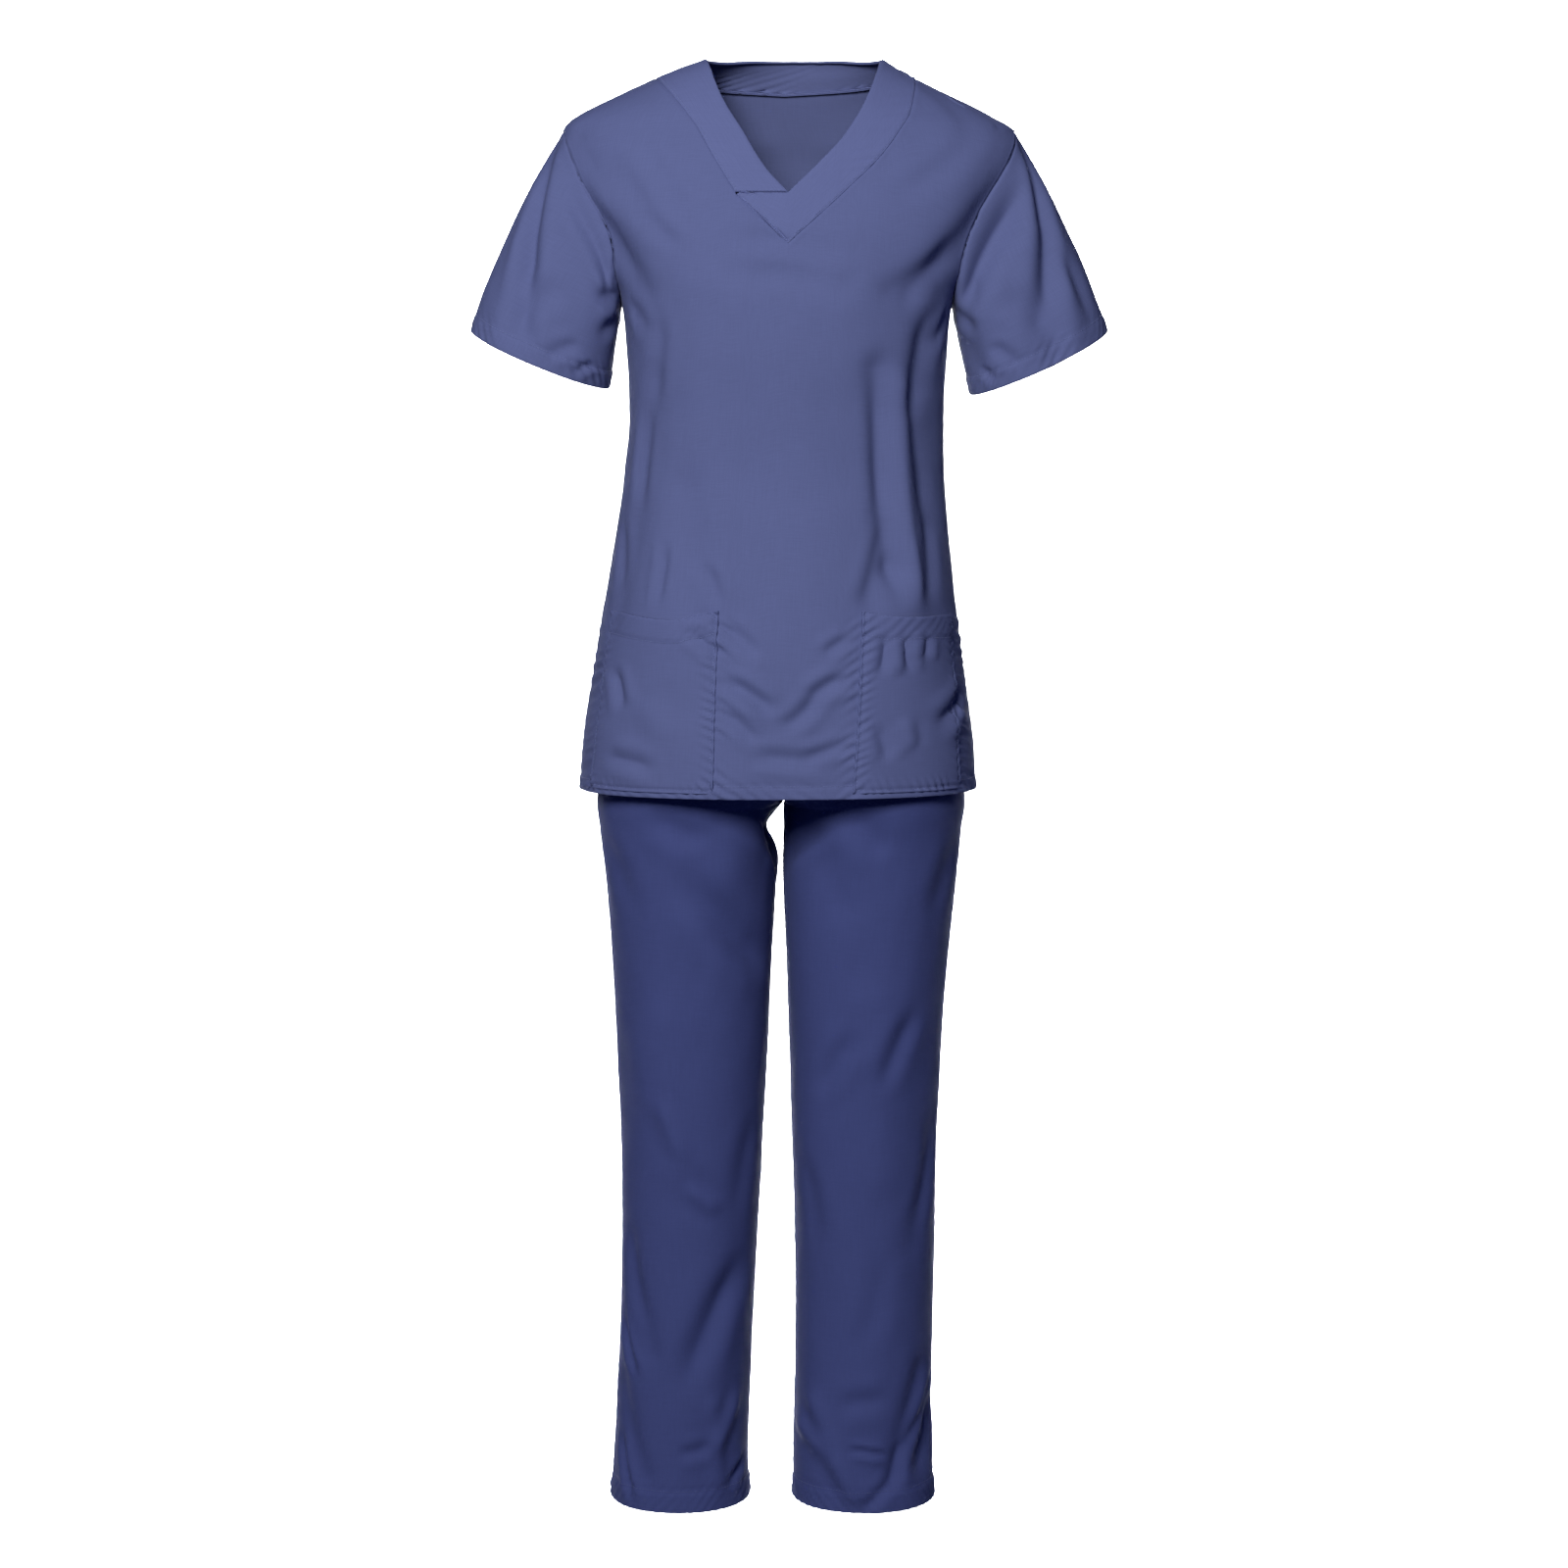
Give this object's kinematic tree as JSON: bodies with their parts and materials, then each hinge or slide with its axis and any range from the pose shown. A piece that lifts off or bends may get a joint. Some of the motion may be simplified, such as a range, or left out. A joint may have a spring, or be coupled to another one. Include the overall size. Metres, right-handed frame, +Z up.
{
  "type": "medical scrubs set",
  "caption": "Short-sleeved V-neck scrub top with two patch pockets over straight trousers, in the open, hollow shape of clothes being worn, with no wearer.",
  "frame": {"origin": "the middle of the neck, level with the points where the shoulder seams reach the neck opening, where the wearer carries the top", "axes": "+Z up, -Y to the front of the garment, +X to the wearer's left"},
  "size_m": [0.599, 0.2743, 1.3773],
  "materials": {
    "top_cloth": "matt plain-weave poly-cotton",
    "neckband_cloth": "matt plain-weave poly-cotton, doubled",
    "trouser_cloth": "matt plain-weave poly-cotton"
  },
  "bodies": {
    "root": {"top_front": "top_cloth", "top_back": "top_cloth", "sleeve_right": "top_cloth", "sleeve_left": "top_cloth", "pocket_right": "top_cloth", "pocket_left": "top_cloth", "neckband_front_right": "neckband_cloth", "neckband_front_left": "neckband_cloth", "neckband_back": "neckband_cloth", "trouser_front_right": "trouser_cloth", "trouser_front_left": "trouser_cloth", "trouser_back_right": "trouser_cloth", "trouser_back_left": "trouser_cloth", "waistband": "trouser_cloth"}
  },
  "joints": []
}
